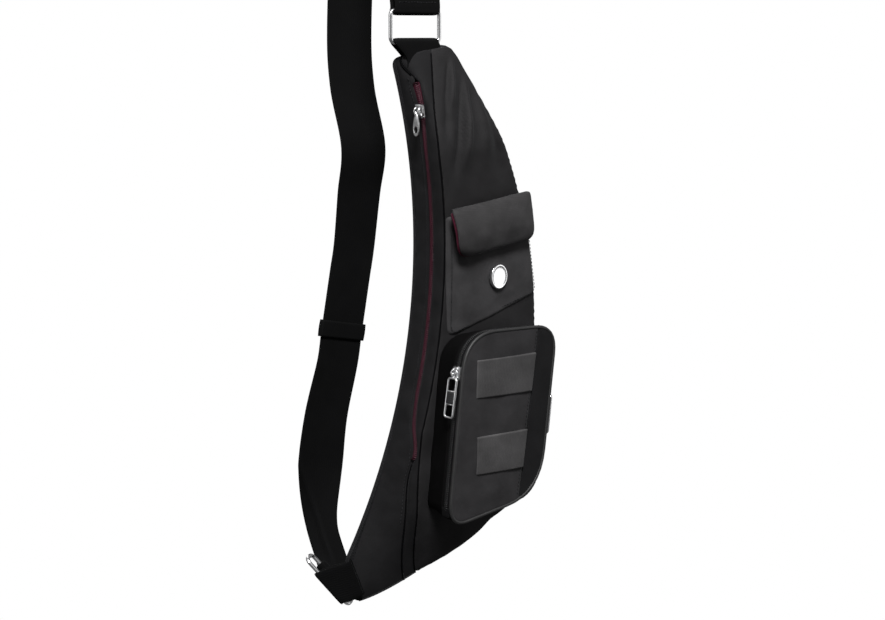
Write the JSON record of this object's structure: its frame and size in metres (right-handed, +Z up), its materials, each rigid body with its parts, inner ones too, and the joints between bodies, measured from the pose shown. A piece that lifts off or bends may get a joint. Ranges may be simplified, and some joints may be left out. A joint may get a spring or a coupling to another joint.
{
  "type": "sling bag",
  "caption": "Crescent sling bag with a curved side zip, a padded flap pocket and a zipped box pocket, hung from a wide webbing strap between wire rings.",
  "frame": {"origin": "on the flat back face, behind the middle of the bag's height", "axes": "+X to the right seen from the front, +Y out of the back face, +Z up, and the front faces -Y"},
  "size_m": [0.1971, 0.1599, 0.7043],
  "materials": {
    "body_fabric": "matte dense nylon weave",
    "panel_fabric": "smooth charcoal nylon with a faint sheen",
    "pocket_fabric": "grey charcoal nylon",
    "flap_fabric": "padded grey nylon",
    "burgundy_fabric": "burgundy tape and lining",
    "foam": "closed foam behind cloth",
    "strap_webbing": "close woven webbing",
    "band_webbing": "grey ribbed webbing",
    "zip_coil": "nylon coil",
    "hook_loop": "hook and loop tape",
    "piping": "shiny grey piping",
    "grip": "black pull grip",
    "hardware": "polished nickel plate",
    "rivet": "plain steel"
  },
  "bodies": {
    "bag": {"back_panel": "body_fabric", "back_padding": "foam", "gusset_back_strip": "body_fabric", "gusset_front_strip": "body_fabric", "convex_gusset": "body_fabric", "front_panel": "panel_fabric", "lining": "burgundy_fabric", "main_zip_tape_back": "burgundy_fabric", "main_zip_tape_front": "burgundy_fabric", "main_zip_coil_back": "zip_coil", "main_zip_coil_front": "zip_coil", "main_zip_stops": "hardware", "patch_pocket": "pocket_fabric", "flap_seam_strip": "pocket_fabric", "pocket_loop_patch": "hook_loop", "button_cap": "hardware", "button_post": "rivet", "button_washer": "rivet", "box_pocket_wall": "body_fabric", "box_pocket_lining": "body_fabric", "pocket_zip_tape_base": "body_fabric", "pocket_zip_coil_base": "zip_coil", "pocket_zip_end_tabs": "body_fabric", "top_tab": "strap_webbing", "bottom_tab": "strap_webbing"},
    "main_slider": {"main_zip_slider": "hardware"},
    "main_pull": {"main_zip_pull": "hardware"},
    "flap": {"pocket_flap": "flap_fabric", "flap_lining": "burgundy_fabric", "flap_hook_patch": "hook_loop"},
    "pocket_lid": {"pocket_lid_wall": "body_fabric", "pocket_lid_panel": "panel_fabric", "pocket_side_strip": "body_fabric", "pocket_piping": "piping", "band_upper": "band_webbing", "band_lower": "band_webbing", "pocket_zip_tape_lid": "body_fabric", "pocket_zip_coil_lid": "zip_coil"},
    "left_slider": {"left_zip_slider": "hardware"},
    "left_pull": {"left_zip_pull": "hardware", "left_pull_grip": "grip"},
    "right_slider": {"right_zip_slider": "hardware"},
    "right_pull": {"right_zip_pull": "hardware", "right_pull_grip": "grip"},
    "strap": {"strap_webbing": "strap_webbing", "strap_end_loops": "strap_webbing", "top_ring": "hardware", "top_tab_loop": "strap_webbing", "bottom_ring": "hardware", "bottom_tab_loop": "strap_webbing"},
    "keeper": {"strap_keeper": "strap_webbing"}
  },
  "joints": [
    {"name": "main_zip_travel", "type": "hinge", "parent": "bag", "child": "main_slider", "pos_m": [-0.518, 0, 0.06], "axis": [0, 1, 0], "range_deg": [-0.3, 29.4]},
    {"name": "main_pull_swing", "type": "hinge", "parent": "main_slider", "child": "main_pull", "pos_m": [-0.04683, -0.0235, 0.16532], "axis": [0, 1, 0], "range_deg": [-12, 150]},
    {"name": "flap_lift", "type": "hinge", "parent": "bag", "child": "flap", "pos_m": [0.01, -0.0495, 0.094], "axis": [-0.9914, 0, -0.1305], "range_deg": [0, 155]},
    {"name": "pocket_lid_open", "type": "hinge", "parent": "bag", "child": "pocket_lid", "pos_m": [-0.059, -0.0718, -0.161], "axis": [0.9883, 0, 0.1528], "range_deg": [0, 50]},
    {"name": "left_zip_travel", "type": "slide", "parent": "bag", "child": "left_slider", "axis": [-0.1161, 0, -0.9932], "range_m": [0, 0.09], "stiffness_N_per_m": 20},
    {"name": "left_pull_swing", "type": "hinge", "parent": "left_slider", "child": "left_pull", "pos_m": [-0.04891, -0.0718, -0.03851], "axis": [0, 1, 0], "range_deg": [0, 150]},
    {"name": "right_zip_travel", "type": "slide", "parent": "bag", "child": "right_slider", "axis": [-0.1303, 0, -0.9915], "range_m": [0, 0.052], "stiffness_N_per_m": 20},
    {"name": "right_pull_swing", "type": "hinge", "parent": "right_slider", "child": "right_pull", "pos_m": [0.05307, -0.0718, -0.06355], "axis": [0, -1, 0], "range_deg": [0, 150]},
    {"name": "strap_swing", "type": "hinge", "parent": "bag", "child": "strap", "pos_m": [-0.037, -0.01, 0.22], "axis": [0.1683, -0.05, 0.9845], "range_deg": [-25, 25]},
    {"name": "keeper_slide", "type": "slide", "parent": "strap", "child": "keeper", "axis": [-0.1867, 0, -0.9824], "range_m": [-0.055, 0.018]}
  ],
  "couplings": [
    {"joint": "left_zip_travel", "follows": "pocket_lid_open", "m_per_rad": 0.103},
    {"joint": "right_zip_travel", "follows": "pocket_lid_open", "m_per_rad": 0.0595}
  ]
}
